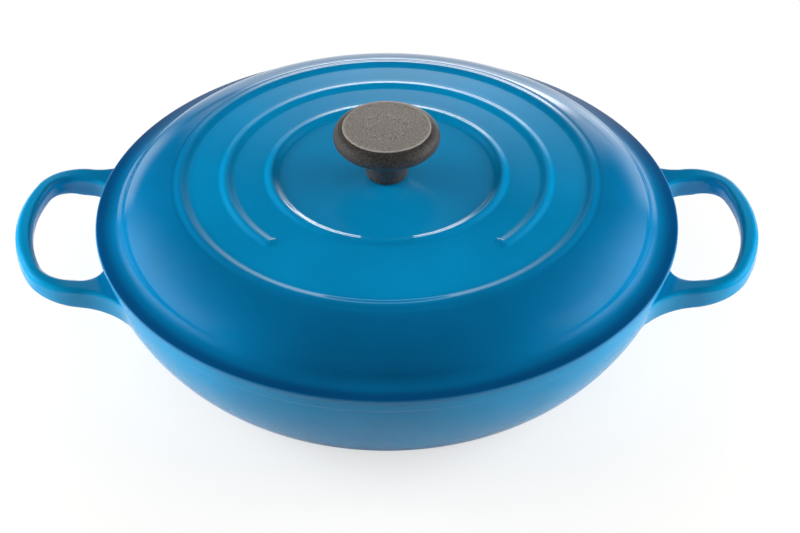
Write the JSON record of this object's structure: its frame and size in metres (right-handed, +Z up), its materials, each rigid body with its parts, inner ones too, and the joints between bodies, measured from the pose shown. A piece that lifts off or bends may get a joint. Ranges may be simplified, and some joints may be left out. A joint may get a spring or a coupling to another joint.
{
  "type": "low casserole with lid",
  "caption": "Wide, shallow round casserole of enamelled cast iron with loop handles and a domed, ringed lid with a knob, for braising and stewing on a hob or in an oven.",
  "frame": {"origin": "middle of the flat underside of the base, on the bowl's axis", "axes": "+X through the handles, +Z up; -Y is the front, where the lid's middle ring is open"},
  "size_m": [0.398, 0.311, 0.1283],
  "materials": {
    "pot_enamel": "cast iron under glossy blue vitreous enamel, sand-coloured enamel inside",
    "lid_enamel": "cast iron under glossy blue vitreous enamel, sand-coloured enamel inside",
    "phenolic": "moulded phenolic, satin, with a fine grain",
    "brass": "turned",
    "stainless": "bright rolled and turned"
  },
  "bodies": {
    "pot": {"pot": "pot_enamel"},
    "lid": {"lid": "lid_enamel", "knob": "phenolic", "knob_insert": "brass", "knob_screw": "stainless", "screw_washer": "stainless"}
  },
  "joints": [
    {"name": "lid_lift", "type": "slide", "parent": "pot", "child": "lid", "axis": [0, 0, 1], "range_m": [0, 0.2]}
  ]
}
